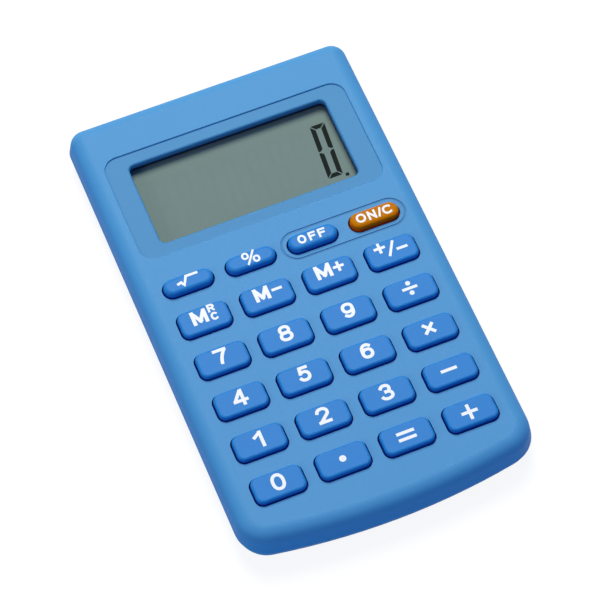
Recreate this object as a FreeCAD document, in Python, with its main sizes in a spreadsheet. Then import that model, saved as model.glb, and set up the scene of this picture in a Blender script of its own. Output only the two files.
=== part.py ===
import FreeCAD
import Part
import Sketcher
import math
import os
import re

Vector = FreeCAD.Vector
doc = FreeCAD.newDocument("pocket_calculator")

# Driving sizes in millimetres. The origin is the middle of the base, +Y points to the display end.
SIZES = {
    # the case as it is seen from outside
    "case_width": 60.0,
    "case_length": 101.75,
    "parting_height": 3.4,
    "case_wall": 1.5,
    "side_draft": 9.0,
    "top_corner_radius": 3.6,
    "bottom_corner_radius": 6.5,
    "bottom_bow_radius": 140.0,
    "edge_round": 2.9,
    "rim_round": 0.5,
    "lower_step": 0.6,
    "base_round": 2.6,
    "lip_inset": 1.0,
    "lip_height": 0.7,
    "lip_thickness": 0.7,
    "lip_clearance": 0.1,
    "cut_margin": 1.0,
    # the keypad: four columns, five rows of number keys and one row of function keys
    "columns": 4,
    "number_rows": 5,
    "side_margin": 4.1,
    "bottom_margin": 12.4,
    "key_web_across": 2.25,
    "key_web_along": 3.35,
    "function_web": 3.93,
    "function_key_length": 3.9,
    "key_clearance": 0.2,
    "key_corner_radius": 1.6,
    "key_rise": 1.1,
    "function_key_rise": 1.4,
    "key_edge_round": 0.5,
    "function_key_edge_round": 0.8,
    "key_draft": 2.7,
    "key_lip": 0.7,
    "key_lip_thickness": 0.6,
    "key_rest_gap": 0.1,
    "key_face_thickness": 1.1,
    "key_wall": 0.9,
    "key_stem_radius": 1.1,
    "groove_margin": 1.2,
    "groove_width": 0.5,
    "groove_depth": 0.15,
    # the display
    "display_gap": 7.9,
    "top_margin": 10.15,
    "recess_length": 24.6,
    "recess_side_margin": 4.5,
    "recess_corner_radius": 3.0,
    "recess_depth": 0.3,
    "recess_edge_round": 0.2,
    "window_margin_across": 4.65,
    "window_margin_along": 2.8,
    "window_corner_radius": 1.2,
    "window_edge_round": 0.45,
    "window_depth": 1.9,
    "window_rim": 1.2,
    "window_sheet_thickness": 0.6,
    "film_margin": 0.8,
    "film_thickness": 0.15,
    "glass_margin": 1.5,
    "glass_thickness": 0.4,
    "glass_ledge": 2.4,
    "glass_clearance": 0.2,
    "glass_stop_length": 12.0,
    "glass_stop_thickness": 1.0,
    "foam_width": 30.0,
    "foam_length": 10.0,
    "foam_thickness": 0.35,
    "ribbon_width": 36.0,
    "ribbon_thickness": 0.12,
    "ribbon_overlap": 1.7,
    # the board and the rubber mat under the keys
    "board_underside": 2.8,
    "board_thickness": 1.0,
    "board_side_gap": 1.5,
    "board_bottom_margin": 4.6,
    "board_top_margin": 5.8,
    "board_corner_radius": 1.0,
    "pad_radius": 2.0,
    "pad_thickness": 0.05,
    "sheet_thickness": 0.5,
    "sheet_side_gap": 2.5,
    "sheet_margin": 3.1,
    "dome_base_radius": 2.8,
    "dome_top_radius": 1.5,
    "dome_height": 2.2,
    "dome_wall": 0.4,
    "dome_fit": 0.05,
    "pill_radius": 0.9,
    "pill_lift": 0.85,
    "blob_radius": 5.0,
    "blob_height": 0.9,
    "blob_round": 0.85,
    "capacitor_length": 2.0,
    "capacitor_width": 1.25,
    "capacitor_height": 0.8,
    "capacitor_gap": 1.0,
    # the screws, and the posts and bosses they hold
    "post_radius": 1.7,
    "post_clearance": 0.4,
    "boss_radius": 2.6,
    "boss_inset_across": 9.0,
    "boss_inset_along": 6.25,
    "case_screw_radius": 0.9,
    "case_screw_length": 4.6,
    "case_screw_head_radius": 1.7,
    "case_screw_head_height": 1.2,
    "case_screw_seat": 2.0,
    "board_screw_radius": 0.7,
    "board_screw_length": 3.4,
    "board_screw_head_radius": 1.4,
    "board_screw_head_height": 0.7,
    "screw_clearance": 0.05,
    "screw_passage": 0.2,
    "screw_end_gap": 0.3,
    # the button cell, its bay, its contacts and the sliding door
    "cell_radius": 5.8,
    "cell_thickness": 3.05,
    "cell_step": 0.5,
    "cell_cap_radius": 4.9,
    "cell_clearance": 0.3,
    "cell_from_end": 20.0,
    "bay_wall": 1.4,
    "bay_ceiling": 0.9,
    "door_width": 19.0,
    "door_inset": 0.1,
    "door_thickness": 1.3,
    "door_clearance": 0.25,
    "door_top_gap": 0.1,
    "door_cover": 8.5,
    "door_tongue": 0.8,
    "door_tongue_thickness": 0.7,
    "grip_width": 9.0,
    "grip_groove": 0.7,
    "grip_pitch": 1.6,
    "grip_depth": 0.35,
    "grip_from_end": 8.0,
    "grip_count": 4,
    "contact_thickness": 0.2,
    "contact_width": 3.2,
    "contact_gap": 0.05,
    "contact_overlap": 3.0,
    "contact_reach": 4.0,
}

# Places and sizes that follow from the driving ones. The cell, the foam pad, the display and its recess
# are stacked from the base up, and the height of the case is what that stack comes to.
LAYOUT = {
    "door_top": "door_inset + door_thickness",
    "cell_underside": "door_top + contact_gap",
    "cell_top": "cell_underside + cell_thickness",
    "leaf_top": "cell_top + contact_gap + contact_thickness",
    "reflector_underside": "leaf_top + foam_thickness",
    "reflector_top": "reflector_underside + film_thickness",
    "rear_glass_top": "reflector_top + glass_thickness",
    "front_glass_top": "rear_glass_top + glass_thickness",
    "polariser_top": "front_glass_top + film_thickness",
    "window_sheet_top": "polariser_top + window_sheet_thickness",
    "recess_floor": "window_sheet_top + window_depth",
    "case_height": "recess_floor + recess_depth",
    "key_pitch_across": "(case_width - 2 * side_margin) / columns",
    "keypad_length": "case_length - bottom_margin - display_gap - recess_length - top_margin",
    "spare_length": "keypad_length + (key_web_along + 2 * key_clearance - function_key_length) / 2",
    "key_pitch_along": "(spare_length - function_web) / (number_rows - 0.5)",
    "key_width": "key_pitch_across - key_web_across - 2 * key_clearance",
    "key_length": "key_pitch_along - key_web_along - 2 * key_clearance",
    "first_column": "-(columns - 1) / 2 * key_pitch_across",
    "first_row": "bottom_margin - case_length / 2",
    "function_row": "first_row + keypad_length",
    "plate_underside": "case_height - case_wall",
    "post_root": "plate_underside + case_wall / 4",
    "floor_root": "case_wall / 2",
    "key_underside": "plate_underside - key_rest_gap - key_lip_thickness",
    "board_top": "board_underside + board_thickness",
    "dome_top": "board_top + dome_height",
    "recess_width": "case_width - 2 * recess_side_margin",
    "display_place": "case_length / 2 - top_margin - recess_length / 2",
    "window_width": "recess_width - 2 * window_margin_across",
    "window_length": "recess_length - 2 * window_margin_along",
    "glass_width": "window_width + 2 * glass_margin",
    "glass_length": "window_length + 2 * glass_margin",
    "glass_bottom": "display_place - glass_length / 2 - glass_ledge",
    "board_width": "case_width - 2 * (case_wall + board_side_gap)",
    "board_bottom": "first_row - board_bottom_margin",
    "board_end": "function_row + board_top_margin",
    "sheet_end": "function_row + sheet_margin",
    "low_post_place": "first_row + key_pitch_along / 2",
    "mid_post_place": "low_post_place + 2 * key_pitch_along",
    "high_post_place": "function_row - (function_key_length + function_web) / 2",
    "boss_across": "case_width / 2 - boss_inset_across",
    "boss_along": "case_length / 2 - boss_inset_along",
    "bay_underside": "door_top + door_top_gap",
    "bay_top": "bay_underside + bay_ceiling",
    "cell_place": "case_length / 2 - cell_from_end",
    "ring_radius": "cell_radius + cell_clearance + bay_wall",
    "door_start": "cell_place - door_cover",
}

sizes = doc.addObject("Spreadsheet::Sheet", "sizes")
for row, (name, number) in enumerate(SIZES.items(), 1):
    sizes.set(f"A{row}", name)
    sizes.set(f"B{row}", str(number))
    sizes.setAlias(f"B{row}", name)
for row, (name, formula) in enumerate(LAYOUT.items(), len(SIZES) + 1):
    sizes.set(f"A{row}", name)
    sizes.set(f"B{row}", "=" + formula)
    sizes.setAlias(f"B{row}", name)
doc.recompute()

pieces = []
TOUCHING = 1e-4


def from_sheet(text):
    """An expression in plain size names, with each name pointing at its cell."""
    known = lambda word: "sizes." + word[0] if word[0] in SIZES or word[0] in LAYOUT else word[0]
    return re.sub(r"[a-z][a-z_0-9]*", known, text)


def measure(text):
    """The number that an expression in size names has now."""
    return float(sizes.evalExpression(from_sheet(text)))


def bind(item, setting, text):
    item.setExpression(setting, from_sheet(text))


def new_body(name):
    body = doc.addObject("PartDesign::Body", name)
    body.Label = name
    return body


def piece(name):
    """A body that is one node of the assembly."""
    body = new_body(name)
    pieces.append(body)
    return body


def origin_item(body, role):
    return [item for item in body.Origin.OriginFeatures if item.Role == role][0]


def new_sketch(body, name, plane="XY_Plane", x="0", y="0", level="0"):
    """A sketch on one of the body's own planes, shifted in that plane and along its normal."""
    sketch = body.newObject("Sketcher::SketchObject", name)
    sketch.AttachmentSupport = [(origin_item(body, plane), "")]
    sketch.MapMode = "FlatFace"
    bind(sketch, "AttachmentOffset.Base.x", x)
    bind(sketch, "AttachmentOffset.Base.y", y)
    bind(sketch, "AttachmentOffset.Base.z", level)
    return sketch


def hold(sketch, text, *constraint):
    """Adds a dimension whose value follows the sheet."""
    index = sketch.addConstraint(Sketcher.Constraint(*constraint, measure(text)))
    bind(sketch, f"Constraints[{index}]", text)


def line(start, end):
    return Part.LineSegment(Vector(*start, 0), Vector(*end, 0))


def arc(centre, radius, first_degrees, last_degrees):
    circle = Part.Circle(Vector(*centre, 0), Vector(0, 0, 1), radius)
    return Part.ArcOfCircle(circle, math.radians(first_degrees), math.radians(last_degrees))


def smooth_chain(sketch, curves):
    """Draws a closed chain of lines and arcs, counter-clockwise, each tangent to the next."""
    first = sketch.GeometryCount
    count = len(curves)
    sketch.addGeometry(curves, False)
    for i in range(count):
        following = first + (i + 1) % count
        sketch.addConstraint(Sketcher.Constraint("Tangent", first + i, 2, following, 1))
    return range(first, first + count)


def rounded_rectangle(sketch, width, length, radius):
    """A rectangle with round corners about the sketch's own origin."""
    x = measure(width) / 2
    y = measure(length) / 2
    r = measure(radius)
    bottom, low_right, right, high_right, top, high_left, left, low_left = smooth_chain(sketch, [
        line((r - x, -y), (x - r, -y)),
        arc((x - r, r - y), r, -90, 0),
        line((x, r - y), (x, y - r)),
        arc((x - r, y - r), r, 0, 90),
        line((x - r, y), (r - x, y)),
        arc((r - x, y - r), r, 90, 180),
        line((-x, y - r), (-x, r - y)),
        arc((r - x, r - y), r, 180, 270),
    ])
    for side in (bottom, top):
        sketch.addConstraint(Sketcher.Constraint("Horizontal", side))
    for side in (left, right):
        sketch.addConstraint(Sketcher.Constraint("Vertical", side))
    for corner in (high_right, high_left, low_left):
        sketch.addConstraint(Sketcher.Constraint("Equal", low_right, corner))
    sketch.addConstraint(Sketcher.Constraint("Symmetric", low_left, 3, high_right, 3, -1, 1))
    hold(sketch, radius, "Radius", low_right)
    hold(sketch, width, "DistanceX", left, 1, right, 1)
    hold(sketch, length, "DistanceY", bottom, 1, top, 1)


def stadium(sketch, width, length):
    """Two parallel lines joined by half circles, about the sketch's own origin."""
    r = measure(length) / 2
    x = measure(width) / 2 - r
    bottom, right, top, left = smooth_chain(sketch, [
        line((-x, -r), (x, -r)),
        arc((x, 0), r, -90, 90),
        line((x, r), (-x, r)),
        arc((-x, 0), r, 90, 270),
    ])
    sketch.addConstraint(Sketcher.Constraint("Horizontal", bottom))
    sketch.addConstraint(Sketcher.Constraint("Equal", right, left))
    sketch.addConstraint(Sketcher.Constraint("Symmetric", left, 3, right, 3, -1, 1))
    hold(sketch, f"({length}) / 2", "Radius", right)
    hold(sketch, f"({width}) - ({length})", "DistanceX", left, 3, right, 3)


def disc(sketch, radius):
    """A circle about the sketch's own origin."""
    index = sketch.addGeometry(Part.Circle(Vector(), Vector(0, 0, 1), measure(radius)), False)
    sketch.addConstraint(Sketcher.Constraint("Coincident", index, 3, -1, 1))
    hold(sketch, radius, "Radius", index)


def case_outline(sketch, inset="0"):
    """The case in plan, moved in by an inset: straight top and sides, and a bowed lower edge."""
    half_width = f"case_width / 2 - ({inset})"
    end = f"case_length / 2 - ({inset})"
    bow_centre = "bottom_bow_radius - case_length / 2"
    x = measure(half_width)
    y = measure(end)
    top_r = measure(f"top_corner_radius - ({inset})")
    low_r = measure(f"bottom_corner_radius - ({inset})")
    bow_r = measure(f"bottom_bow_radius - ({inset})")
    bow_y = measure(bow_centre)
    low_x = x - low_r
    low_y = bow_y - math.sqrt((bow_r - low_r) ** 2 - low_x ** 2)
    turn = math.degrees(math.atan2(low_y - bow_y, low_x))
    left_turn = -180 - turn
    top, high_left, left, low_left, bow, low_right, right, high_right = smooth_chain(sketch, [
        line((x - top_r, y), (top_r - x, y)),
        arc((top_r - x, y - top_r), top_r, 90, 180),
        line((-x, y - top_r), (-x, low_y)),
        arc((-low_x, low_y), low_r, 180, 360 + left_turn),
        arc((0, bow_y), bow_r, left_turn, turn),
        arc((low_x, low_y), low_r, turn, 0),
        line((x, low_y), (x, y - top_r)),
        arc((x - top_r, y - top_r), top_r, 0, 90),
    ])
    sketch.addConstraint(Sketcher.Constraint("Horizontal", top))
    sketch.addConstraint(Sketcher.Constraint("Vertical", left))
    sketch.addConstraint(Sketcher.Constraint("Vertical", right))
    sketch.addConstraint(Sketcher.Constraint("Equal", high_left, high_right))
    sketch.addConstraint(Sketcher.Constraint("Equal", low_left, low_right))
    sketch.addConstraint(Sketcher.Constraint("PointOnObject", bow, 3, -2))
    hold(sketch, half_width, "DistanceX", -1, 1, right, 1)
    hold(sketch, half_width, "DistanceX", left, 1, -1, 1)
    hold(sketch, end, "DistanceY", -1, 1, top, 1)
    hold(sketch, bow_centre, "DistanceY", -1, 1, bow, 3)
    hold(sketch, f"top_corner_radius - ({inset})", "Radius", high_right)
    hold(sketch, f"bottom_corner_radius - ({inset})", "Radius", low_right)
    hold(sketch, f"bottom_bow_radius - ({inset})", "Radius", bow)


def polygon(sketch, corners):
    """A closed outline of straight runs through corners given as pairs of expressions."""
    points = [(measure(across), measure(along)) for across, along in corners]
    first = sketch.GeometryCount
    count = len(points)
    sketch.addGeometry([line(points[i], points[(i + 1) % count]) for i in range(count)], False)
    for i in range(count):
        following = first + (i + 1) % count
        sketch.addConstraint(Sketcher.Constraint("Coincident", first + i, 2, following, 1))
    for i, (across, along) in enumerate(corners):
        if across == "0":
            sketch.addConstraint(Sketcher.Constraint("PointOnObject", first + i, 1, -2))
        else:
            hold(sketch, across, "DistanceX", -1, 1, first + i, 1)
        if along == "0":
            sketch.addConstraint(Sketcher.Constraint("PointOnObject", first + i, 1, -1))
        else:
            hold(sketch, along, "DistanceY", -1, 1, first + i, 1)


def pad(body, sketch, height, draft=None):
    feature = body.newObject("PartDesign::Pad", sketch.Name + "_pad")
    feature.Profile = sketch
    bind(feature, "Length", height)
    if draft:
        bind(feature, "TaperAngle", f"-({draft})")
    return feature


def pocket(body, sketch, depth, upwards=False, draft=None):
    feature = body.newObject("PartDesign::Pocket", sketch.Name + "_pocket")
    feature.Profile = sketch
    feature.Reversed = upwards
    bind(feature, "Length", depth)
    if draft:
        bind(feature, "TaperAngle", f"-({draft})")
    return feature


def revolve(body, sketch):
    feature = body.newObject("PartDesign::Revolution", sketch.Name + "_turned")
    feature.Profile = sketch
    feature.ReferenceAxis = (sketch, ["V_Axis"])
    feature.Angle = 360
    return feature


def round_edges(body, feature, radius, chosen):
    """Rounds the edges of a feature that pass a test."""
    doc.recompute()
    names = [f"Edge{i}" for i, edge in enumerate(feature.Shape.Edges, 1) if chosen(edge)]
    rounded = body.newObject("PartDesign::Fillet", feature.Name + "_round")
    rounded.Base = (feature, names)
    bind(rounded, "Radius", radius)
    return rounded


def all_at(level):
    """A test for edges that lie flat at one height."""
    return lambda edge: all(abs(v.Z - measure(level)) < TOUCHING for v in edge.Vertexes)


def flat_faces(feature, level):
    """The places, in a feature's list of faces, of those that lie flat at one height."""
    lies_there = lambda box: abs(box.ZMin - measure(level)) < TOUCHING and box.ZLength < TOUCHING
    return [i for i, face in enumerate(feature.Shape.Faces) if lies_there(face.BoundBox)]


def hollow(body, feature, wall, level):
    """Shells a solid inwards, open at the flat face at one height."""
    doc.recompute()
    shell = body.newObject("PartDesign::Thickness", feature.Name + "_shell")
    shell.Base = (feature, [f"Face{i + 1}" for i in flat_faces(feature, level)])
    shell.Reversed = True
    shell.Mode = 0
    shell.Join = 0
    bind(shell, "Value", wall)
    return shell


def cylinder(body, name, radius, x, y, bottom, top, cut=False):
    kind = "PartDesign::SubtractiveCylinder" if cut else "PartDesign::AdditiveCylinder"
    feature = body.newObject(kind, name)
    bind(feature, "Radius", radius)
    bind(feature, "Height", f"({top}) - ({bottom})")
    bind(feature, "Placement.Base.x", x)
    bind(feature, "Placement.Base.y", y)
    bind(feature, "Placement.Base.z", bottom)
    return feature


def block(body, name, x_range, y_range, z_range, cut=False):
    kind = "PartDesign::SubtractiveBox" if cut else "PartDesign::AdditiveBox"
    feature = body.newObject(kind, name)
    for side, axis, (low, high) in zip(
        ("Length", "Width", "Height"), "xyz", (x_range, y_range, z_range)
    ):
        bind(feature, side, f"({high}) - ({low})")
        bind(feature, f"Placement.Base.{axis}", low)
    return feature


def line_of_copies(body, axis, count, pitch):
    pattern = body.newObject("PartDesign::LinearPattern", body.Name + "_row")
    pattern.Direction = (origin_item(body, axis), [""])
    bind(pattern, "Length", f"({count} - 1) * {pitch}")
    bind(pattern, "Occurrences", count)
    return pattern


def over_columns(body, feature):
    """Repeats the first column's feature across the other columns."""
    across = line_of_copies(body, "X_Axis", "columns", "key_pitch_across")
    across.Originals = [feature]
    body.Tip = across


def over_number_keys(body, feature):
    """Repeats the lower left key's feature over all the number keys."""
    grid = body.newObject("PartDesign::MultiTransform", body.Name + "_grid")
    grid.Originals = [feature]
    grid.Transformations = [
        line_of_copies(body, "X_Axis", "columns", "key_pitch_across"),
        line_of_copies(body, "Y_Axis", "number_rows", "key_pitch_along"),
    ]
    body.Tip = grid


def mirror_across(body, feature):
    mirrored = body.newObject("PartDesign::Mirrored", feature.Name + "_mirrored")
    mirrored.Originals = [feature]
    mirrored.MirrorPlane = (origin_item(body, "YZ_Plane"), [""])
    body.Tip = mirrored


def key_outline(sketch, in_function_row, grow="0"):
    """A key in plan, grown or shrunk all round: a rounded rectangle, or a stadium in the function row."""
    width = f"key_width + 2 * ({grow})"
    if in_function_row:
        stadium(sketch, width, f"function_key_length + 2 * ({grow})")
    else:
        rounded_rectangle(
            sketch, width, f"key_length + 2 * ({grow})", f"key_corner_radius + ({grow})"
        )


def both_sides(across):
    return across, f"-({across})"


# Picks the edges at one height that lie in a rectangle about the middle of the display
def about_the_display(height, width, length):
    return lambda edge: (
        all_at(height)(edge)
        and abs(edge.CenterOfMass.x) < measure(f"{width} / 2") + TOUCHING
        and abs(edge.CenterOfMass.y - measure("display_place")) < measure(f"{length} / 2") + TOUCHING
    )


# Upper case: a shell with drafted sides and a rolled edge, a recess and window for the display, an opening
# per key, and a rebate and rounded rim that sit over the lip of the lower case
def make_upper_case():
    body = piece("upper_case")
    outline = new_sketch(body, "upper_outline", level="parting_height")
    case_outline(outline)
    block_of_case = pad(body, outline, "case_height - parting_height", draft="side_draft")
    round_edges(body, block_of_case, "edge_round", all_at("case_height"))
    inside = new_sketch(body, "upper_inside", level="parting_height")
    case_outline(inside, "case_wall")
    cavity = pocket(
        body, inside, "plate_underside - parting_height", upwards=True, draft="side_draft"
    )
    round_edges(body, cavity, "edge_round - case_wall", all_at("plate_underside"))

    rebate = new_sketch(body, "rebate", level="parting_height")
    case_outline(rebate, "lip_inset")
    rebated = pocket(body, rebate, "lip_height + lip_clearance", upwards=True)
    doc.recompute()
    rim_faces = [rebated.Shape.Faces[i] for i in flat_faces(rebated, "parting_height")]
    rim_edges = [edge for face in rim_faces for edge in face.OuterWire.Edges]
    round_edges(body, rebated, "rim_round", lambda edge: any(edge.isSame(other) for other in rim_edges))

    rim = new_sketch(body, "window_rim_ring", y="display_place", level="window_sheet_top")
    rounded_rectangle(
        rim,
        "window_width + 2 * window_rim",
        "window_length + 2 * window_rim",
        "window_corner_radius + window_rim",
    )
    pad(body, rim, "post_root - window_sheet_top")
    for across in both_sides("(glass_width + glass_stop_thickness) / 2 + glass_clearance"):
        block(
            body,
            "glass_stop",
            (f"{across} - glass_stop_thickness / 2", f"{across} + glass_stop_thickness / 2"),
            ("display_place - glass_stop_length / 2", "display_place + glass_stop_length / 2"),
            ("reflector_top", "post_root"),
        )
    for across in both_sides("key_pitch_across"):
        for along in ("low_post_place", "mid_post_place", "high_post_place"):
            cylinder(
                body, "post", "post_radius", across, along, "board_top", "post_root"
            )
    for across in both_sides("boss_across"):
        cylinder(
            body, "boss", "boss_radius", across, "boss_along", "parting_height",
            "post_root",
        )

    recess = new_sketch(body, "recess", y="display_place", level="case_height")
    rounded_rectangle(recess, "recess_width", "recess_length", "recess_corner_radius")
    sunk = pocket(body, recess, "recess_depth")
    recess_edge = about_the_display("case_height", "recess_width", "recess_length")
    round_edges(body, sunk, "recess_edge_round", recess_edge)
    window = new_sketch(body, "window", y="display_place", level="case_height")
    rounded_rectangle(window, "window_width", "window_length", "window_corner_radius")
    opening = pocket(body, window, "case_height - parting_height")
    window_edge = about_the_display("recess_floor", "window_width", "window_length")
    round_edges(body, opening, "window_edge_round", window_edge)

    number_opening = new_sketch(
        body, "number_opening", x="first_column", y="first_row", level="case_height"
    )
    key_outline(number_opening, False, "key_clearance")
    over_number_keys(body, pocket(body, number_opening, "case_wall + cut_margin"))
    function_opening = new_sketch(
        body, "function_opening", x="first_column", y="function_row", level="case_height"
    )
    key_outline(function_opening, True, "key_clearance")
    over_columns(body, pocket(body, function_opening, "case_wall + cut_margin"))

    groove = new_sketch(body, "groove", x="key_pitch_across", y="function_row", level="case_height")
    reach = "key_width + key_pitch_across + 2 * (key_clearance + groove_margin)"
    height = "function_key_length + 2 * (key_clearance + groove_margin)"
    stadium(groove, reach, height)
    stadium(groove, f"{reach} - 2 * groove_width", f"{height} - 2 * groove_width")
    pocket(body, groove, "groove_depth")

    for across in both_sides("key_pitch_across"):
        cylinder(
            body, "case_pilot", "case_screw_radius + screw_clearance", across, "low_post_place",
            "board_top", "case_screw_seat + case_screw_length + screw_end_gap", cut=True,
        )
        for along in ("mid_post_place", "high_post_place"):
            cylinder(
                body, "board_pilot", "board_screw_radius + screw_clearance", across, along,
                "board_top", "board_underside + board_screw_length + screw_end_gap", cut=True,
            )
    for across in both_sides("boss_across"):
        cylinder(
            body, "case_pilot", "case_screw_radius + screw_clearance", across, "boss_along",
            "parting_height", "case_screw_seat + case_screw_length + screw_end_gap", cut=True,
        )


# Lower case: a shell that steps in from the upper one, with a rolled base edge, a locating lip, screw bosses
# and the cell's bay
def make_lower_case():
    body = piece("lower_case")
    outline = new_sketch(body, "lower_outline")
    case_outline(outline, "lower_step")
    rolled = round_edges(body, pad(body, outline, "parting_height"), "base_round", all_at("0"))
    hollow(body, rolled, "case_wall", "parting_height")

    lip = new_sketch(body, "lip", level="parting_height")
    case_outline(lip, "lip_inset + lip_clearance")
    case_outline(lip, "lip_inset + lip_clearance + lip_thickness")
    pad(body, lip, "lip_height")

    for across in both_sides("boss_across"):
        cylinder(
            body, "end_boss", "boss_radius", across, "boss_along", "floor_root", "parting_height"
        )
    for across in both_sides("key_pitch_across"):
        cylinder(
            body, "low_boss", "boss_radius", across, "low_post_place", "floor_root", "board_underside"
        )

    bay_half = "door_width / 2 + door_tongue + door_clearance + bay_wall"
    block(
        body,
        "bay",
        (f"-({bay_half})", bay_half),
        ("door_start - door_clearance - bay_wall", "case_length / 2 - lower_step - base_round + floor_root"),
        ("floor_root", "bay_top"),
    )
    cylinder(body, "ring", "ring_radius", "0", "cell_place", "case_wall", "leaf_top")

    door_half = "door_width / 2 + door_clearance"
    beyond_end = "case_length / 2 + cut_margin"
    block(
        body,
        "door_way",
        (f"-({door_half})", door_half),
        ("door_start - door_clearance", beyond_end),
        ("-cut_margin", "bay_underside"),
        cut=True,
    )
    tongue_half = "door_width / 2 + door_tongue + door_clearance"
    block(
        body,
        "tongue_way",
        (f"-({tongue_half})", tongue_half),
        ("door_start - door_clearance", beyond_end),
        ("door_top - door_tongue_thickness - door_top_gap", "bay_underside"),
        cut=True,
    )
    cylinder(
        body, "cell_hole", "cell_radius + cell_clearance", "0", "cell_place", "floor_root",
        "leaf_top + cut_margin", cut=True,
    )
    block(
        body,
        "contact_slot",
        ("-contact_width - 2 * cell_clearance", "contact_width + 4 * cell_clearance"),
        ("cell_place - ring_radius - bay_wall", "cell_place - cell_radius / 2"),
        ("bay_top", "leaf_top + cut_margin"),
        cut=True,
    )

    for across, along in (
        ("boss_across", "boss_along"),
        ("-boss_across", "boss_along"),
        ("key_pitch_across", "low_post_place"),
        ("-key_pitch_across", "low_post_place"),
    ):
        cylinder(
            body, "head_well", "case_screw_head_radius + screw_passage", across, along, "-cut_margin",
            "case_screw_seat", cut=True,
        )
        cylinder(
            body, "shank_hole", "case_screw_radius + screw_passage", across, along, "0",
            "parting_height + cut_margin", cut=True,
        )


# Battery door: a plate with side tongues whose outer end follows the rolled edge of the base
def make_battery_door():
    form = new_body("door_form")
    outline = new_sketch(form, "door_outline")
    case_outline(outline, "lower_step")
    base_form = pad(form, outline, "parting_height")
    round_edges(form, base_form, "base_round", all_at("0"))

    def slab(name, width, start, length, bottom, thickness):
        item = doc.addObject("Part::Box", name)
        bind(item, "Length", width)
        bind(item, "Width", length)
        bind(item, "Height", thickness)
        bind(item, "Placement.Base.x", f"-({width}) / 2")
        bind(item, "Placement.Base.y", start)
        bind(item, "Placement.Base.z", bottom)
        return item

    length = "case_length / 2 - door_start"
    plate = slab("door_plate", "door_width", "door_start", length, "door_inset", "door_thickness")
    tongues = slab(
        "door_tongues",
        "door_width + 2 * door_tongue",
        "door_start",
        length,
        "door_top - door_tongue_thickness",
        "door_tongue_thickness",
    )
    joined = doc.addObject("Part::Fuse", "door_joined")
    joined.Base = plate
    joined.Tool = tongues
    joined.Refine = True
    trimmed = doc.addObject("Part::Common", "door_trimmed")
    trimmed.Base = joined
    trimmed.Tool = form
    grips = doc.addObject("Part::MultiFuse", "door_grips")
    grips.Shapes = [
        slab(
            "door_grip",
            "grip_width",
            f"case_length / 2 - grip_from_end - {step} * grip_pitch",
            "grip_groove",
            "door_inset - grip_depth",
            "2 * grip_depth",
        )
        for step in range(int(measure("grip_count")))
    ]
    door = doc.addObject("Part::Cut", "battery_door")
    door.Label = "battery_door"
    door.Base = trimmed
    door.Tool = grips
    pieces.append(door)


# Keys: hollow caps with a lip that stops under the case and a stem that stands on a rubber dome
KEY_ROWS = [
    ["zero", "point", "equals", "plus"],
    ["one", "two", "three", "minus"],
    ["four", "five", "six", "times"],
    ["seven", "eight", "nine", "divide"],
    ["memory_recall", "memory_minus", "memory_plus", "sign"],
    ["root", "percent", "off", "on_clear"],
]


def make_key(name, column, row):
    in_function_row = row == len(KEY_ROWS) - 1
    rise = "function_key_rise" if in_function_row else "key_rise"
    cap_height = f"case_height + {rise} - key_underside"
    body = piece("key_" + name)
    lip = new_sketch(body, "key_lip_outline")
    key_outline(lip, in_function_row, "key_lip")
    pad(body, lip, "key_lip_thickness")
    cap = new_sketch(body, "key_cap_outline")
    key_outline(cap, in_function_row)
    cap_block = pad(body, cap, cap_height, draft="key_draft")
    edge_round = "function_key_edge_round" if in_function_row else "key_edge_round"
    round_edges(body, cap_block, edge_round, all_at(cap_height))
    inside = new_sketch(body, "key_inside_outline")
    key_outline(inside, in_function_row, "-key_wall")
    pocket(body, inside, f"{cap_height} - key_face_thickness", upwards=True)
    cylinder(
        body, "key_stem", "key_stem_radius", "0", "0", "dome_top - key_underside",
        f"{cap_height} - key_face_thickness / 2",
    )
    bind(body, "Placement.Base.x", f"first_column + {column} * key_pitch_across")
    along = "function_row" if in_function_row else f"first_row + {row} * key_pitch_along"
    bind(body, "Placement.Base.y", along)
    bind(body, "Placement.Base.z", "key_underside")


def make_keys():
    for row, names in enumerate(KEY_ROWS):
        for column, name in enumerate(names):
            make_key(name, column, row)


# Display: a clear window sheet, two glass plates between two films, a foam pad and a film connector
def make_display_layer(name, width, length, radius, bottom, thickness, place="display_place"):
    body = piece(name)
    outline = new_sketch(body, name + "_outline")
    rounded_rectangle(outline, width, length, radius)
    pad(body, outline, thickness)
    bind(body, "Placement.Base.y", place)
    bind(body, "Placement.Base.z", bottom)


def make_display():
    make_display_layer(
        "display_window",
        "window_width + 2 * window_rim",
        "window_length + 2 * window_rim",
        "window_corner_radius + window_rim",
        "polariser_top",
        "window_sheet_thickness",
    )
    film = ("window_width + 2 * film_margin", "window_length + 2 * film_margin", "film_margin")
    make_display_layer("lcd_front_polariser", *film, "front_glass_top", "film_thickness")
    make_display_layer("lcd_reflector", *film, "reflector_underside", "film_thickness")
    make_display_layer(
        "lcd_front_glass", "glass_width", "glass_length", "glass_clearance", "rear_glass_top",
        "glass_thickness",
    )
    make_display_layer(
        "lcd_rear_glass", "glass_width", "glass_length + glass_ledge", "glass_clearance", "reflector_top",
        "glass_thickness", "display_place - glass_ledge / 2",
    )
    make_display_layer(
        "display_foam", "foam_width", "foam_length", "film_margin", "leaf_top", "foam_thickness",
        "cell_place",
    )
    make_display_ribbon()


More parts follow.
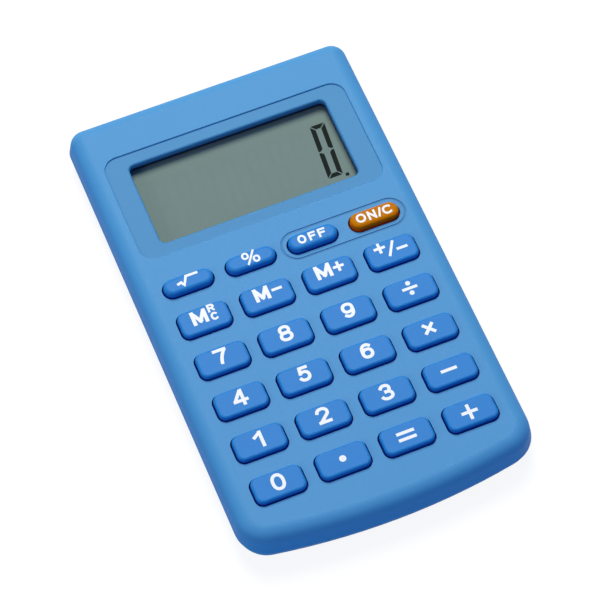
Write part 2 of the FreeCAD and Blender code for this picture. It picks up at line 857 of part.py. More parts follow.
def make_display_ribbon():
    """A thin film that runs from the ledge of the rear glass down to the board."""
    body = piece("display_ribbon")
    section = new_sketch(body, "ribbon_section", plane="YZ_Plane", level="-ribbon_width / 2")
    ledge_end = "glass_bottom + ribbon_overlap"
    ledge_start = "glass_bottom - 2 * ribbon_thickness"
    board_start = "board_end - ribbon_overlap / 2"
    board_reach = "board_end - 1.5 * ribbon_overlap"
    polygon(section, [
        (ledge_end, "rear_glass_top"),
        (ledge_end, "rear_glass_top + ribbon_thickness"),
        (f"{ledge_start} - ribbon_thickness / 2", "rear_glass_top + ribbon_thickness"),
        (f"{board_start} - ribbon_thickness / 2", "board_top + ribbon_thickness"),
        (board_reach, "board_top + ribbon_thickness"),
        (board_reach, "board_top"),
        (f"{board_start} + ribbon_thickness / 2", "board_top"),
        (f"{ledge_start} + ribbon_thickness / 2", "rear_glass_top"),
    ])
    pad(body, section, "ribbon_width")


# Circuit board with a printed pad under each key, the covered chip and two chip capacitors below
def make_board():
    body = piece("circuit_board")
    outline = new_sketch(body, "board_outline", y="(board_bottom + board_end) / 2")
    rounded_rectangle(outline, "board_width", "board_end - board_bottom", "board_corner_radius")
    pad(body, outline, "board_thickness")
    for across in both_sides("key_pitch_across"):
        cylinder(
            body, "case_screw_hole", "case_screw_radius + screw_passage", across, "low_post_place",
            "-cut_margin", "board_thickness + cut_margin", cut=True,
        )
        for along in ("mid_post_place", "high_post_place"):
            cylinder(
                body, "board_screw_hole", "board_screw_radius + screw_passage", across, along,
                "-cut_margin", "board_thickness + cut_margin", cut=True,
            )
    bind(body, "Placement.Base.z", "board_underside")

    pads = piece("contact_pads")
    number_pad = new_sketch(pads, "number_pad")
    disc(number_pad, "pad_radius")
    over_number_keys(pads, pad(pads, number_pad, "pad_thickness"))
    function_pad = new_sketch(pads, "function_pad", y="function_row - first_row")
    disc(function_pad, "pad_radius")
    over_columns(pads, pad(pads, function_pad, "pad_thickness"))
    place_at_first_key(pads)

    blob = piece("controller_blob")
    drop = new_sketch(blob, "blob_outline", y="mid_post_place")
    disc(drop, "blob_radius")
    drop_pad = pad(blob, drop, "blob_height")
    round_edges(blob, drop_pad, "blob_round", all_at("0"))
    bind(blob, "Placement.Base.z", "board_underside - blob_height")

    capacitors = piece("board_capacitors")
    for across in both_sides("blob_radius + capacitor_gap + capacitor_length / 2"):
        block(
            capacitors,
            "capacitor",
            (f"{across} - capacitor_length / 2", f"{across} + capacitor_length / 2"),
            ("mid_post_place - capacitor_width / 2", "mid_post_place + capacitor_width / 2"),
            ("board_underside - capacitor_height", "board_underside"),
        )


def place_at_first_key(body):
    bind(body, "Placement.Base.x", "first_column")
    bind(body, "Placement.Base.y", "first_row")
    bind(body, "Placement.Base.z", "board_top")


# Rubber mat: a flat web on the board, and a thin dome with a contact pill under each key
def make_rubber_mat():
    sheet = piece("keypad_sheet")
    outline = new_sketch(sheet, "sheet_outline", y="(first_row + sheet_end - sheet_margin) / 2")
    rounded_rectangle(
        outline,
        "case_width - 2 * (case_wall + sheet_side_gap)",
        "sheet_end - first_row + sheet_margin",
        "board_corner_radius",
    )
    pad(sheet, outline, "sheet_thickness")
    number_hole = new_sketch(
        sheet, "number_dome_hole", x="first_column", y="first_row", level="sheet_thickness"
    )
    disc(number_hole, "dome_base_radius + dome_fit")
    over_number_keys(sheet, pocket(sheet, number_hole, "sheet_thickness + cut_margin"))
    function_hole = new_sketch(
        sheet, "function_dome_hole", x="first_column", y="function_row", level="sheet_thickness"
    )
    disc(function_hole, "dome_base_radius + dome_fit")
    over_columns(sheet, pocket(sheet, function_hole, "sheet_thickness + cut_margin"))
    for across in both_sides("key_pitch_across"):
        for along in ("low_post_place", "mid_post_place", "high_post_place"):
            cylinder(
                sheet, "post_hole", "post_radius + post_clearance", across, along, "-cut_margin",
                "sheet_thickness + cut_margin", cut=True,
            )
    bind(sheet, "Placement.Base.z", "board_top")

    domes = piece("rubber_domes")
    section = [
        ("0", "pill_lift"),
        ("pill_radius", "pill_lift"),
        ("pill_radius", "dome_height - dome_wall"),
        ("dome_top_radius - dome_wall", "dome_height - dome_wall"),
        ("dome_base_radius - dome_wall", "sheet_thickness - dome_wall / 2"),
        ("dome_base_radius - dome_wall", "0"),
        ("dome_base_radius", "0"),
        ("dome_base_radius", "sheet_thickness"),
        ("dome_top_radius", "dome_height"),
        ("0", "dome_height"),
    ]
    number_dome = new_sketch(domes, "number_dome", plane="XZ_Plane")
    polygon(number_dome, section)
    over_number_keys(domes, revolve(domes, number_dome))
    function_dome = new_sketch(
        domes, "function_dome", plane="XZ_Plane", level="first_row - function_row"
    )
    polygon(function_dome, section)
    over_columns(domes, revolve(domes, function_dome))
    place_at_first_key(domes)


# Screws: four hold the two case halves together, four hold the board to the upper case
def screw_pair(body, name, screw, across, along, seat):
    """Two flat-headed screws, left and right, with their heads below the seat."""
    section = new_sketch(
        body, name, plane="XZ_Plane", x=across, y=seat, level=f"-({along})"
    )
    polygon(section, [
        ("0", f"-{screw}_head_height"),
        (f"{screw}_head_radius", f"-{screw}_head_height"),
        (f"{screw}_head_radius", "0"),
        (f"{screw}_radius", "0"),
        (f"{screw}_radius", f"{screw}_length"),
        ("0", f"{screw}_length"),
    ])
    mirror_across(body, revolve(body, section))


def make_screws():
    case_screws = piece("case_screws")
    screw_pair(case_screws, "end_screw", "case_screw", "boss_across", "boss_along", "case_screw_seat")
    screw_pair(
        case_screws, "low_screw", "case_screw", "key_pitch_across", "low_post_place", "case_screw_seat"
    )
    board_screws = piece("board_screws")
    for along in ("mid_post_place", "high_post_place"):
        screw_pair(
            board_screws, "board_screw", "board_screw", "key_pitch_across", along, "board_underside"
        )


# Power: a button cell in its bay, a side contact on the can and a leaf over the cap
def make_power():
    cell = piece("button_cell")
    section = new_sketch(cell, "cell_section", plane="XZ_Plane")
    polygon(section, [
        ("0", "0"),
        ("cell_radius", "0"),
        ("cell_radius", "cell_thickness - cell_step"),
        ("cell_cap_radius", "cell_thickness - cell_step"),
        ("cell_cap_radius", "cell_thickness"),
        ("0", "cell_thickness"),
    ])
    revolve(cell, section)
    bind(cell, "Placement.Base.y", "cell_place")
    bind(cell, "Placement.Base.z", "cell_underside")

    tail_top = "board_underside"
    tail_bottom = "board_underside - contact_thickness"
    tail_end = "board_end - contact_overlap"
    touch = "cell_place - cell_radius - contact_gap"
    side = piece("cell_contact_positive")
    side_section = new_sketch(side, "side_section", plane="YZ_Plane", level="-contact_width")
    polygon(side_section, [
        (tail_end, tail_bottom),
        (touch, tail_bottom),
        (touch, "cell_top - 2 * cell_step"),
        (f"{touch} - contact_thickness", "cell_top - 2 * cell_step"),
        (f"{touch} - contact_thickness", tail_top),
        (tail_end, tail_top),
    ])
    pad(side, side_section, "contact_width + cell_clearance")

    leaf = piece("cell_contact_negative")
    drop = "cell_place - ring_radius - contact_thickness - contact_gap"
    tip = "cell_place + contact_reach"
    leaf_section = new_sketch(leaf, "leaf_section", plane="YZ_Plane", level="3 * cell_clearance")
    polygon(leaf_section, [
        (tail_end, tail_bottom),
        (f"{drop} + contact_thickness", tail_bottom),
        (f"{drop} + contact_thickness", "leaf_top - contact_thickness"),
        (tip, "leaf_top - contact_thickness"),
        (tip, "leaf_top"),
        (drop, "leaf_top"),
        (drop, tail_top),
        (tail_end, tail_top),
    ])
    pad(leaf, leaf_section, "contact_width")


make_upper_case()
make_lower_case()
make_battery_door()
make_keys()
make_display()
make_board()
make_rubber_mat()
make_screws()
make_power()
doc.recompute()

# Every object has to be sound before anything is written
for item in doc.Objects:
    if "Invalid" in item.State or "Error" in item.State:
        raise RuntimeError(f"{item.Label} failed: {item.State}")
for item in pieces:
    if item.Shape.isNull() or not item.Shape.isValid() or not item.Shape.Solids:
        raise RuntimeError(f"{item.Label} has no sound solid")

os.makedirs("parts", exist_ok=True)
for item in pieces:
    item.Shape.exportStep(f"parts/{item.Label}.step")
    print(f"{item.Label}: {len(item.Shape.Solids)} solids, {item.Shape.Volume:.2f} mm3")
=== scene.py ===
# Pocket calculator: the finish of every piece, in the order in which it is put together.
import bmesh
import bpy
import numpy as np
from mathutils import Matrix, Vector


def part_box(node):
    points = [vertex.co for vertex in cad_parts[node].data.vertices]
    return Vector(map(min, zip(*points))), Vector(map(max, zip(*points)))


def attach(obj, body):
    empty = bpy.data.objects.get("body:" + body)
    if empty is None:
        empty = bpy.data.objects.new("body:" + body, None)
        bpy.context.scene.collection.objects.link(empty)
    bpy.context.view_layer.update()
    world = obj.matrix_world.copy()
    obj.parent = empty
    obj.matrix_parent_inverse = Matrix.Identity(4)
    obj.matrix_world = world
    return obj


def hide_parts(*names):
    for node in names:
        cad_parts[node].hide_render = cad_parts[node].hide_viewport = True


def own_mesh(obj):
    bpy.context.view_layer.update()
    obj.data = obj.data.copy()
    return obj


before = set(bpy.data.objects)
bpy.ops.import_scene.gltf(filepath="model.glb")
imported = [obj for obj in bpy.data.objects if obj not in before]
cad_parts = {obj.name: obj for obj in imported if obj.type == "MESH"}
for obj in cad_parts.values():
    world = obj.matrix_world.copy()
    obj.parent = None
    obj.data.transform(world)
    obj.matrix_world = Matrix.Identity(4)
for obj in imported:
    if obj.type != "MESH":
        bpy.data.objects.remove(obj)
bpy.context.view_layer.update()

# Lower case: the back half of the shell, injection moulded in light-blue ABS. The steel mould was
# spark eroded, so the plastic carries an even, very fine grain and looks matt.
MM = 0.001
CLOUD_DETAIL = 3.0
GRAIN_DETAIL = 2.0
GRAIN_SPREAD = 0.2


def linear(colour):
    """An sRGB hex colour as linear red, green, blue and alpha. A channel up to 0.04045 is divided by
    12.92, and any other is ((channel + 0.055) / 1.055) to the power 2.4."""
    channels = np.array([int(colour[i:i + 2], 16) for i in (0, 2, 4)]) / 255
    curved = ((channels + 0.055) / 1.055) ** 2.4
    return (*np.where(channels <= 0.04045, channels / 12.92, curved), 1.0)


def add_node(owner, kind, settings={}, links={}):
    """Adds one node. A setting is a property of the node or, if it has none of that name, an input's
    value. A link names an input, and the node and output that feed it."""
    node = owner.node_tree.nodes.new(kind)
    for name, value in settings.items():
        if isinstance(name, str) and hasattr(node, name):
            setattr(node, name, value)
        else:
            node.inputs[name].default_value = value
    for name, (source, output) in links.items():
        owner.node_tree.links.new(source.outputs[output], node.inputs[name])
    return node


def new_surface(name, **settings):
    """A material and its surface, whose fixed numbers sit on the surface's own sockets, with
    Base_Color written for Base Color."""
    material = bpy.data.materials.new(name)
    material.use_nodes = True
    surface = material.node_tree.nodes["Principled BSDF"]
    for socket, value in settings.items():
        surface.inputs[socket.replace("_", " ")].default_value = value
    return material, surface


def feed(material, surface, **sources):
    """Links outputs of nodes to the surface's sockets."""
    for socket, (source, output) in sources.items():
        target = surface.inputs[socket.replace("_", " ")]
        material.node_tree.links.new(source.outputs[output], target)


def mottled(
    name, light, dark, cloud_mm, roughness, grain_mm, relief_mm, stretch=(1, 1, 1), **settings
):
    """Two close tones that drift into each other over cloud_mm, and a grain of grain_mm that stands
    relief_mm high and spreads the roughness by a fifth. Stretch thins the pattern along x, y and z."""
    material, surface = new_surface(name, **settings)
    place = add_node(material, "ShaderNodeTexCoord")
    stretched = add_node(
        material, "ShaderNodeMapping", {"Scale": stretch}, {"Vector": (place, "Object")}
    )
    cloud = add_node(
        material,
        "ShaderNodeTexNoise",
        {"Scale": 1 / (cloud_mm * MM), "Detail": CLOUD_DETAIL},
        {"Vector": (stretched, 0)},
    )
    tone = add_node(
        material,
        "ShaderNodeMix",
        {"data_type": "RGBA", 6: linear(light), 7: linear(dark)},
        {0: (cloud, 0)},
    )
    grain = add_node(
        material,
        "ShaderNodeTexNoise",
        {"Scale": 1 / (grain_mm * MM), "Detail": GRAIN_DETAIL},
        {"Vector": (stretched, 0)},
    )
    gloss = add_node(
        material,
        "ShaderNodeMapRange",
        {"To Min": (1 - GRAIN_SPREAD) * roughness, "To Max": (1 + GRAIN_SPREAD) * roughness},
        {"Value": (grain, 0)},
    )
    relief = add_node(
        material, "ShaderNodeBump", {"Distance": relief_mm * MM}, {"Height": (grain, 0)}
    )
    feed(material, surface, Base_Color=(tone, 2), Roughness=(gloss, 0), Normal=(relief, 0))
    return material


def finish_nodes(material, *names):
    """Gives modelled pieces their finish."""
    for name in names:
        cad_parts[name].material_slots[0].material = material


# The pits are about 0.05 mm across on the real case, and are drawn coarser so that they show.
# The back half and its door are drawn in a deeper, more saturated blue than the face: a shaded copy of
# the same plastic, which is painted shade.
shaded_copy_case_plastic = mottled(
    "abs_spark_eroded_blue_shaded_copy", "2487cb", "2083c6",
    cloud_mm=14.0, roughness=0.52, grain_mm=0.35, relief_mm=0.003,
    IOR=1.53, Specular_IOR_Level=0.08,
)
finish_nodes(shaded_copy_case_plastic, "lower_case")

# Battery door: a slide moulded in the same plastic, with a tongue along each side that runs in the floor
# of the case, and finger grooves near its end. It comes off the end of the case.
# The door takes the back's painted-shade tone.
finish_nodes(shaded_copy_case_plastic, "battery_door")

# Button cell and its contacts: a nickel-plated steel can, deep drawn, with a tinned bronze leaf on its
# cap and another against its side. The leaves were blanked and bent from rolled strip.
# The plated can is a bright, slightly warm mirror, and rolling leaves fine lines along the strip.
cell_nickel = mottled(
    "nickel_plated_steel_drawn", "c9c8c4", "b4b3ae",
    cloud_mm=2.0, roughness=0.28, grain_mm=0.15, relief_mm=0.001,
    Metallic=1.0,
)
contact_tin = mottled(
    "phosphor_bronze_tinned_strip", "d8cba6", "c4b48c",
    cloud_mm=1.2, roughness=0.33, grain_mm=0.12, relief_mm=0.001, stretch=(1, 0.1, 1),
    Metallic=1.0,
)
finish_nodes(cell_nickel, "button_cell")
finish_nodes(contact_tin, "cell_contact_positive", "cell_contact_negative")

# Circuit board: brown phenolic paper laminate, punched to shape. On it are screen-printed carbon pads
# for the keys, a drop of epoxy over the bonded chip and two chip capacitors.
# Fibres show through the resin, the ink dries dull, the drop sets glossy and the ceramic is chalky.
laminate = mottled(
    "phenolic_paper_laminate_punched", "a8783f", "8a5c2c",
    cloud_mm=1.5, roughness=0.4, grain_mm=0.2, relief_mm=0.004, stretch=(1, 0.25, 1),
    IOR=1.55,
)
carbon = mottled(
    "carbon_ink_screen_printed", "2a2a2b", "1c1c1d",
    cloud_mm=0.6, roughness=0.7, grain_mm=0.08, relief_mm=0.004,
    IOR=1.5,
)
epoxy = mottled(
    "epoxy_drop_black_cured", "141415", "0b0b0c",
    cloud_mm=3.0, roughness=0.25, grain_mm=0.8, relief_mm=0.01,
    IOR=1.57,
)
ceramic = mottled(
    "chip_capacitor_ceramic_fired", "b39a78", "9d8361",
    cloud_mm=0.5, roughness=0.5, grain_mm=0.1, relief_mm=0.004,
    IOR=1.6,
)
finish_nodes(laminate, "circuit_board")
finish_nodes(carbon, "contact_pads")
finish_nodes(epoxy, "controller_blob")
finish_nodes(ceramic, "board_capacitors")

# Rubber mat: pale silicone, press moulded in one piece. Its flat web lies on the board, and under each
# key stands a thin bell with a pill of conductive rubber, which on the real mat folds as the key goes
# down; here each bell is drawn at rest and moves with the case.
# Silicone looks milky and soft, with a broad, faint sheen.
BELL_FOOT = 2.8 * MM
BELL_HEAD = 1.5 * MM
BELL_SKIN = 0.4 * MM
BELL_EDGE = 0.1 * MM
BELL_STEPS = 9
BELL_SIDES = 40
PILL = 0.9 * MM
PILL_LIFT = 0.85 * MM
MERGE = 1e-4 * MM


def mesh_piece(name, points, faces, material, smooth=True):
    """A new piece from an array of points and a list of faces. Points that meet at a seam or pole are
    merged."""
    mesh = bpy.data.meshes.new(name)
    mesh.from_pydata(np.asarray(points).tolist(), [], [tuple(face) for face in faces])
    shape = bmesh.new()
    shape.from_mesh(mesh)
    bmesh.ops.remove_doubles(shape, verts=shape.verts, dist=MERGE)
    shape.to_mesh(mesh)
    shape.free()
    mesh.materials.append(material)
    mesh.polygons.foreach_set("use_smooth", np.full(len(mesh.polygons), smooth))
    piece = bpy.data.objects.new(name, mesh)
    bpy.context.scene.collection.objects.link(piece)
    return piece


def grid_faces(rows, columns, closed_rows=False, closed_columns=False):
    """The four corners of each cell of a grid of rows by columns points, numbered row by row, so that a
    face looks along columns crossed with rows. A closed direction also joins its last line of points
    to its first."""
    row, column = np.meshgrid(
        np.arange(rows - (not closed_rows)),
        np.arange(columns - (not closed_columns)),
        indexing="ij",
    )
    right = (column + 1) % columns
    up = (row + 1) % rows
    corners = [
        row * columns + column,
        row * columns + right,
        up * columns + right,
        up * columns + column,
    ]
    return np.stack(corners, -1).reshape(-1, 4)


def turned(profile, sides):
    """A section turned about the upright axis: the point of the profile (radius, height) at an angle is
    (radius cos angle, radius sin angle, height). A profile that runs up its outside looks outwards."""
    angle = np.linspace(0, 2 * np.pi, sides, endpoint=False)
    radius, height = np.asarray(profile).T
    across = np.outer(radius, np.cos(angle))
    along = np.outer(radius, np.sin(angle))
    points = np.stack([across, along, np.broadcast_to(height[:, None], across.shape)], -1)
    return points.reshape(-1, 3), grid_faces(len(radius), sides, closed_columns=True)


def bell_wall(foot, head, low, high):
    """A flank that eases from the foot's radius to the head's by half a cosine wave as it climbs
    evenly."""
    share = np.linspace(0, 1, BELL_STEPS)
    ease = (1 - np.cos(np.pi * share)) / 2
    return np.stack([foot + (head - foot) * ease, low + (high - low) * share], -1)


def middle_of(node):
    """The middle of a modelled piece in plan, half way between its least and greatest x and y."""
    low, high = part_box(node)
    return (low.x + high.x) / 2, (low.y + high.y) / 2


silicone = mottled(
    "silicone_rubber_press_moulded", "d5d8d8", "c6caca",
    cloud_mm=2.5, roughness=0.62, grain_mm=0.12, relief_mm=0.004,
    IOR=1.41,
)
finish_nodes(silicone, "keypad_sheet")
mat_low, mat_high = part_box("rubber_domes")
bell_height = mat_high.z - mat_low.z
bell_profile = np.concatenate([
    [[0, PILL_LIFT], [PILL, PILL_LIFT], [PILL, bell_height - BELL_SKIN]],
    bell_wall(BELL_FOOT - BELL_SKIN, BELL_HEAD - BELL_SKIN, 0, bell_height - BELL_SKIN)[::-1],
    [[BELL_FOOT, 0]],
    bell_wall(BELL_FOOT, BELL_HEAD, BELL_EDGE, bell_height - BELL_EDGE),
    [[BELL_HEAD - BELL_EDGE, bell_height], [0, bell_height]],
])
bell_points, bell_faces = turned(bell_profile, BELL_SIDES)
key_nodes = [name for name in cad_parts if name.startswith("key_")]
for node in key_nodes:
    foot = np.array([*middle_of(node), mat_low.z])
    bell = mesh_piece(node.replace("key", "bell"), bell_points + foot, bell_faces, silicone)
    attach(bell, "case")
    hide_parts("rubber_domes")
    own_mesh(bell)

# Foam pad: a strip of black open-cell foam with a sticky back, cut from sheet. It holds the display up
# against the window, and its edges bulge a little where it is squeezed.
FOAM_ROUNDNESS = 0.22


def squared_off(wave, power):
    """A wave with its size taken to a power. An oval of such waves grows squarer as the power falls."""
    return np.sign(wave) * np.abs(np.round(wave, 9)) ** power


def pillow(low, high, roundness, rows=24, columns=96):
    """A box with soft edges: on a sphere's angles, x is cos up cos round, y is cos up sin round and z
    is sin up, each wave squared off by the roundness and stretched to the box."""
    up, around = np.meshgrid(
        np.linspace(-np.pi / 2, np.pi / 2, rows),
        np.linspace(-np.pi, np.pi, columns),
        indexing="ij",
    )
    ring = squared_off(np.cos(up), roundness)
    unit = np.stack(
        [
            ring * squared_off(np.cos(around), roundness),
            ring * squared_off(np.sin(around), roundness),
            squared_off(np.sin(up), roundness),
        ],
        -1,
    )
    middle = (np.array(low) + np.array(high)) / 2
    half = (np.array(high) - np.array(low)) / 2
    return (middle + half * unit).reshape(-1, 3), grid_faces(rows, columns)


# Open cells give the foam a pitted, light-swallowing face.
foam_black = mottled(
    "polyurethane_foam_cut", "1d1d1f", "101011",
    cloud_mm=0.8, roughness=0.9, grain_mm=0.3, relief_mm=0.05,
    IOR=1.4,
)
foam = mesh_piece("foam_pad", *pillow(*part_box("display_foam"), FOAM_ROUNDNESS), foam_black)
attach(foam, "case")
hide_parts("display_foam")

# Display: two thin glass plates with liquid crystal between them, a reflecting film behind and a
# polarising film in front, which is what turns the driven strokes dark. Eight figures show, seven of
# them as faint ghosts. The films give an even grey-green with hardly any sheen.
FIGURES_SHOWN = 8
FIGURE_PITCH = 4.9 * MM
FIGURE_WIDTH = 3.15 * MM
FIGURE_HEIGHT = 12.75 * MM
FIGURE_STROKE = 0.98 * MM
FIGURE_GAP = 0.16 * MM
FIGURE_SLANT = 0.088
LAST_FIGURE = (15.22 * MM, 21.45 * MM)
POINT_PLACE = (3.6 * MM, -0.7 * MM)
POINT_SIZE = 0.72 * MM
FILM_PROUD = 0.004 * MM
STROKE_PROUD = 0.008 * MM


def rectangle(left, bottom, right, top):
    """The four corners of a rectangle, in order round it."""
    return np.array([(left, bottom), (right, bottom), (right, top), (left, top)])


def upright(outline, low, high):
    """A flat outline with straight sides carried up from low to high, closed above and below."""
    count = len(outline)
    levels = [np.column_stack([outline, np.full(count, level)]) for level in (low, high)]
    top = np.arange(count) + count
    sides = grid_faces(2, count, closed_columns=True)
    return np.concatenate(levels), [*sides, top, np.arange(count)[::-1]]


def join(shapes):
    """Several shapes as one list of points and one list of faces."""
    starts = np.cumsum([0] + [len(points) for points, _ in shapes])
    joined = []
    for start, (_, faces) in zip(starts, shapes):
        joined += [np.asarray(face) + start for face in faces]
    return np.concatenate([points for points, _ in shapes]), joined


def figure_strokes():
    """The seven strokes of a figure as outlines: the top stroke is a bar mitred at both ends, the upper
    left one is a post mitred to it, and the rest are those two turned over. The middle bar is pointed
    at both ends."""
    wide, high, stroke, gap = FIGURE_WIDTH, FIGURE_HEIGHT, FIGURE_STROKE, FIGURE_GAP
    middle = high / 2
    top = np.array([
        (gap, high),
        (stroke + gap / 2, high - stroke),
        (wide - stroke - gap / 2, high - stroke),
        (wide - gap, high),
    ])
    upper_left = np.array([
        (0, high - gap),
        (0, middle + gap),
        (stroke / 2, middle + gap),
        (stroke, middle + stroke / 2 + gap),
        (stroke, high - stroke - gap),
    ])
    centre = np.array([
        (stroke / 2 + gap, middle),
        (stroke + gap, middle - stroke / 2),
        (wide - stroke - gap, middle - stroke / 2),
        (wide - stroke / 2 - gap, middle),
        (wide - stroke - gap, middle + stroke / 2),
        (stroke + gap, middle + stroke / 2),
    ])
    over = lambda outline: (outline * (1, -1) + (0, high))[::-1]
    across = lambda outline: (outline * (-1, 1) + (wide, 0))[::-1]
    posts = [upper_left, across(upper_left), over(upper_left), over(across(upper_left))]
    return [top, over(top), *posts], [centre]


def shown_strokes(name, outlines, material):
    """Outlines on the face of the front film, leaned over by the slant, as one thin film."""
    shapes = []
    for outline in outlines:
        lean = np.outer(outline[:, 1] - LAST_FIGURE[1], (FIGURE_SLANT, 0))
        shapes.append(upright(outline + lean, film_high.z, film_high.z + STROKE_PROUD))
    film = mesh_piece(name, *join(shapes), material, smooth=False)
    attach(film, "case")


dull = {"IOR": 1.52, "Specular_IOR_Level": 0.03}
reflector = mottled(
    "reflector_film_metallised", "a3b0a6", "99a79e",
    cloud_mm=6.0, roughness=0.5, grain_mm=0.1, relief_mm=0.002,
    IOR=1.5,
)
cell_glass = mottled(
    "soda_lime_glass_polished", "d3ddd8", "c9d5cf",
    cloud_mm=9.0, roughness=0.1, grain_mm=0.5, relief_mm=0.0005,
    IOR=1.52, Alpha=0.3,
)
polariser = mottled(
    "polariser_film_over_reflector", "778c8c", "758a87",
    cloud_mm=9.0, roughness=0.6, grain_mm=0.5, relief_mm=0.001,
    **dull,
)
lit_black = mottled(
    "liquid_crystal_driven", "16201f", "121b1b",
    cloud_mm=3.0, roughness=0.6, grain_mm=0.4, relief_mm=0.001,
    **dull,
)
ghost_grey = mottled(
    "liquid_crystal_at_rest", "768b8b", "748986",
    cloud_mm=3.0, roughness=0.6, grain_mm=0.4, relief_mm=0.001,
    **dull,
)
finish_nodes(reflector, "lcd_reflector")
finish_nodes(cell_glass, "lcd_rear_glass", "lcd_front_glass")
# The front film is drawn a hair proud, so that it and the window that rests on it share no plane.
film_low, film_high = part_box("lcd_front_polariser")
film_outline = rectangle(film_low.x, film_low.y, film_high.x, film_high.y)
film_shape = upright(film_outline, film_low.z, film_high.z + FILM_PROUD)
film = mesh_piece("front_film", *film_shape, polariser, smooth=False)
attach(film, "case")
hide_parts("lcd_front_polariser")
zero_strokes, middle_stroke = figure_strokes()
point = rectangle(0, 0, POINT_SIZE, POINT_SIZE) + POINT_PLACE
last = np.array(LAST_FIGURE)
others = [last - (FIGURE_PITCH * place, 0) for place in range(1, FIGURES_SHOWN)]
whole_figure = [*zero_strokes, *middle_stroke, point]
resting = [outline + place for place in others for outline in whole_figure]
resting += [outline + last for outline in middle_stroke]
shown_strokes("figure_zero", [outline + last for outline in [*zero_strokes, point]], lit_black)
shown_strokes("figures_at_rest", resting, ghost_grey)

# Film connector: polyester film with printed silver tracks, hot pressed to the ledge of the rear glass
# and to the edge of the board. The tracks run along it, 0.8 mm apart, as pale lines on a tan film.
TRACK_PITCH_MM = 0.8
FILM_TAN = "b98b45"
TRACK_SILVER = "c9c7c0"
ribbon_film, ribbon_surface = new_surface("polyester_film_printed_tracks", IOR=1.58, Roughness=0.3)
place = add_node(ribbon_film, "ShaderNodeTexCoord")
# A band texture at scale 1 repeats every tenth of pi along x.
tracks = add_node(
    ribbon_film,
    "ShaderNodeTexWave",
    {"Scale": np.pi / 10 / (TRACK_PITCH_MM * MM), "bands_direction": "X"},
    {"Vector": (place, "Object")},
)
track_tone = add_node(
    ribbon_film,
    "ShaderNodeMix",
    {"data_type": "RGBA", 6: linear(FILM_TAN), 7: linear(TRACK_SILVER)},
    {0: (tracks, 1)},
)
feed(ribbon_film, ribbon_surface, Base_Color=(track_tone, 2))
finish_nodes(ribbon_film, "display_ribbon")

# Display window: clear acrylic sheet with a hard coat that takes off most of its glare, glued under the
# opening of the case.
window_acrylic = mottled(
    "acrylic_sheet_hard_coated", "3c4446", "343c3e",
    cloud_mm=9.0, roughness=0.2, grain_mm=0.5, relief_mm=0.0005,
    Alpha=0.04, **dull,
)
finish_nodes(window_acrylic, "display_window")

# Upper case: the front half of the shell, moulded in the same plastic and mould finish as the back,
# with a rolled edge, a recess round the display and an opening for every key. Painted shade darkens
# its sides, the walls of the window opening (nearly to black, as a painted shadow) and what is sunk
# into its face, more with depth.
SUNK_STEP = (0.02 * MM, 0.12 * MM)
WINDOW_STEP = (1.2 * MM, 1.8 * MM)
SIDE_STEP = (0.3 * MM, 2.6 * MM)
FLAT_HALF = (26.0 * MM, 45.0 * MM)
KEYPAD_HALF = (26.0 * MM, 14.0 * MM)
BLEND = 0.1 * MM
SUNK_PAINTED_SHADE = "edf0ef"
KEYPAD_PAINTED_SHADE = "e6f0f8"
WINDOW_PAINTED_SHADOW = "1c2c50"
SIDE_PAINTED_SHADE = "5cddf9"


def paint_shading_by_height(material, high, low, colour, halves=()):
    """Paints light and shade into a material's tone by height: it multiplies the tone by a colour, not
    at all at the height high and fully at low. With halves it does so only where x and y are no further
    than those from the middle."""
    surface = material.node_tree.nodes["Principled BSDF"]
    tone = surface.inputs["Base Color"].links[0].from_node
    place = add_node(material, "ShaderNodeTexCoord")
    apart = add_node(material, "ShaderNodeSeparateXYZ", {}, {0: (place, "Object")})
    share = add_node(
        material, "ShaderNodeMapRange", {"From Min": high, "From Max": low}, {"Value": (apart, 2)}
    )
    for axis, half in enumerate(halves):
        reach = add_node(material, "ShaderNodeMath", {"operation": "ABSOLUTE"}, {0: (apart, axis)})
        inside = add_node(
            material,
            "ShaderNodeMapRange",
            {"From Min": half, "From Max": half - BLEND},
            {"Value": (reach, 0)},
        )
        share = add_node(
            material, "ShaderNodeMath", {"operation": "MULTIPLY"}, {0: (share, 0), 1: (inside, 0)}
        )
    deep = add_node(
        material,
        "ShaderNodeMix",
        {"data_type": "RGBA", "blend_type": "MULTIPLY", 7: linear(colour)},
        {0: (share, 0), 6: (tone, 2)},
    )
    feed(material, surface, Base_Color=(deep, 2))


face_plastic_painted_shade = mottled(
    "abs_spark_eroded_face_blue_painted_shade", "4c95d0", "4891cb",
    cloud_mm=14.0, roughness=0.52, grain_mm=0.35, relief_mm=0.003,
    IOR=1.53, Specular_IOR_Level=0.14,
)
face_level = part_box("upper_case")[1].z
# Painted shade on the sunk face and the keypad's groove, a painted shadow on the window walls, and
# painted shade down the sides.
for (start, stop), shade_colour, halves in (
    (SUNK_STEP, SUNK_PAINTED_SHADE, FLAT_HALF),
    (SUNK_STEP, KEYPAD_PAINTED_SHADE, KEYPAD_HALF),
    (WINDOW_STEP, WINDOW_PAINTED_SHADOW, FLAT_HALF),
    (SIDE_STEP, SIDE_PAINTED_SHADE, ()),
):
    paint_shading_by_height(face_plastic_painted_shade, face_level - start, face_level - stop, shade_colour, halves)
finish_nodes(face_plastic_painted_shade, "upper_case")

